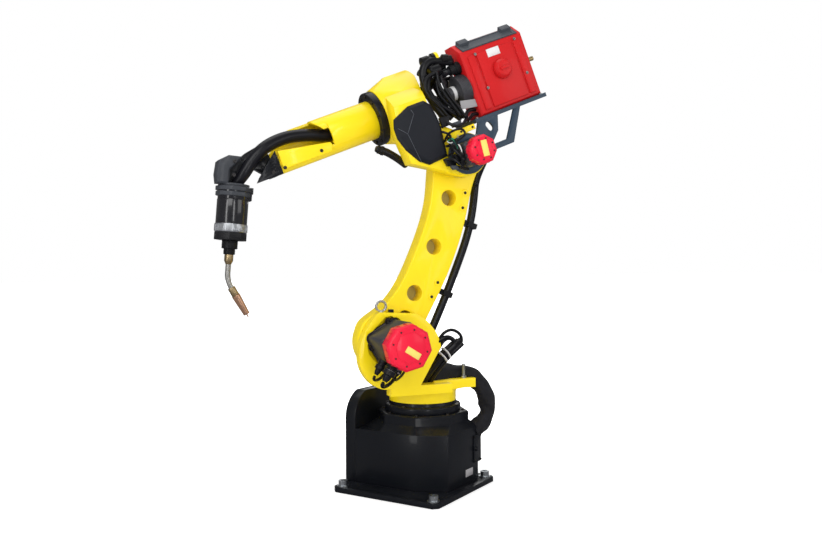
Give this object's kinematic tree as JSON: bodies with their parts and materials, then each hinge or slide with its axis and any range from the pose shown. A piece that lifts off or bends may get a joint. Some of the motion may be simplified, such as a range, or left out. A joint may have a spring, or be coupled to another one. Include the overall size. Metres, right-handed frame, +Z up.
{
  "type": "industrial robot arm",
  "caption": "Floor-standing arc welding robot arm: turning turret, leaning lower arm, elbow with wire feeder, forearm, wrist and bent welding torch.",
  "frame": {"origin": "on the floor below the base plate, on the first (vertical) joint axis", "axes": "+Z up; +X the way the arm reaches at rest; +Y the arm's left, the motor side; the base stands turned 36.5 degrees about +Z"},
  "size_m": [0.9825, 0.5019, 1.4107],
  "materials": {
    "aluminium_ring": "turned",
    "bare_steel": "machined",
    "black_canvas": "matt",
    "black_paint": "satin",
    "black_plastic": "matt",
    "blue_grey_paint": "satin",
    "brass": "turned",
    "cable_rubber": "matt",
    "copper": "turned copper",
    "grey_plastic": "matt",
    "grey_sheet": "satin",
    "motor_black": "satin",
    "neck_steel": "heat tinted",
    "red_paint": "semi gloss",
    "red_plastic": "semi gloss",
    "yellow_paint": "semi gloss"
  },
  "bodies": {
    "base": {"base_plate": "black_paint", "base_housing": "black_paint", "base_collar": "black_paint", "base_side_duct": "black_paint", "base_inspection_cover": "black_paint", "connector_panel": "black_paint", "air_fitting": "blue_grey_paint"},
    "turret": {"turret_casting": "yellow_paint", "shoulder_reducer": "bare_steel", "shoulder_motor_body": "motor_black", "shoulder_motor_cap": "red_plastic", "shoulder_connectors": "black_plastic", "lifting_eye": "bare_steel", "stop_pin": "bare_steel", "canvas_cover": "black_canvas", "turret_cables": "cable_rubber", "shoulder_cable_bridge": "cable_rubber", "harness_sleeve": "black_canvas"},
    "lower_arm": {"lower_arm": "yellow_paint", "arm_hub_covers": "yellow_paint", "arm_conduit": "cable_rubber", "conduit_clips": "black_plastic", "elbow_cable_bridge": "cable_rubber"},
    "elbow": {"elbow_casting": "yellow_paint", "elbow_reducer": "bare_steel", "elbow_side_cover": "black_plastic", "elbow_motor_body": "motor_black", "elbow_motor_cap": "red_plastic", "forearm_collar": "black_paint", "feeder_tray": "grey_sheet", "tray_bracket": "grey_sheet", "feeder_housing": "red_paint", "feeder_lid": "grey_plastic", "feeder_knob": "red_paint", "feeder_motor": "motor_black", "wire_inlet": "brass", "feeder_outlet": "black_plastic", "feeder_hose": "cable_rubber"},
    "forearm": {"forearm_tube": "yellow_paint", "wrist_link": "black_paint", "torch_hose": "cable_rubber", "forearm_side_plate": "yellow_paint"},
    "wrist": {"wrist_housing": "black_paint"},
    "torch": {"torch_clamp": "black_plastic", "torch_body": "black_plastic", "torch_ring": "aluminium_ring", "torch_lower_clamp": "black_plastic", "torch_connector": "black_plastic", "neck_sleeve": "brass", "torch_neck": "neck_steel", "nozzle_holder": "brass", "nozzle": "copper", "contact_tip": "copper"}
  },
  "joints": [
    {"name": "j1_turret_turn", "type": "hinge", "parent": "base", "child": "turret", "pos_m": [0, 0, 0], "axis": [0, 0, 1], "range_deg": [-170, 170], "deforming": ["harness_sleeve"]},
    {"name": "j2_lower_arm_swing", "type": "hinge", "parent": "turret", "child": "lower_arm", "pos_m": [0.15, 0, 0.45], "axis": [0, 1, 0], "range_deg": [-45, 80], "deforming": ["shoulder_cable_bridge"]},
    {"name": "j3_elbow_swing", "type": "hinge", "parent": "lower_arm", "child": "elbow", "pos_m": [-0.08444, 0, 1.0023], "axis": [0, -1, 0], "range_deg": [-25, 80], "deforming": ["elbow_cable_bridge"]},
    {"name": "j4_forearm_roll", "type": "hinge", "parent": "elbow", "child": "forearm", "pos_m": [-0.01139, 0, 1.1831], "axis": [0.9272, 0, -0.3746], "range_deg": [-190, 190]},
    {"name": "j5_wrist_bend", "type": "hinge", "parent": "forearm", "child": "wrist", "pos_m": [0.57088, 0, 0.94785], "axis": [0, -1, 0], "range_deg": [-50, 110], "deforming": ["torch_hose"]},
    {"name": "j6_torch_roll", "type": "hinge", "parent": "wrist", "child": "torch", "pos_m": [0.57088, 0, 0.94785], "axis": [0.0785, 0, -0.9969], "range_deg": [-225, 225]}
  ]
}
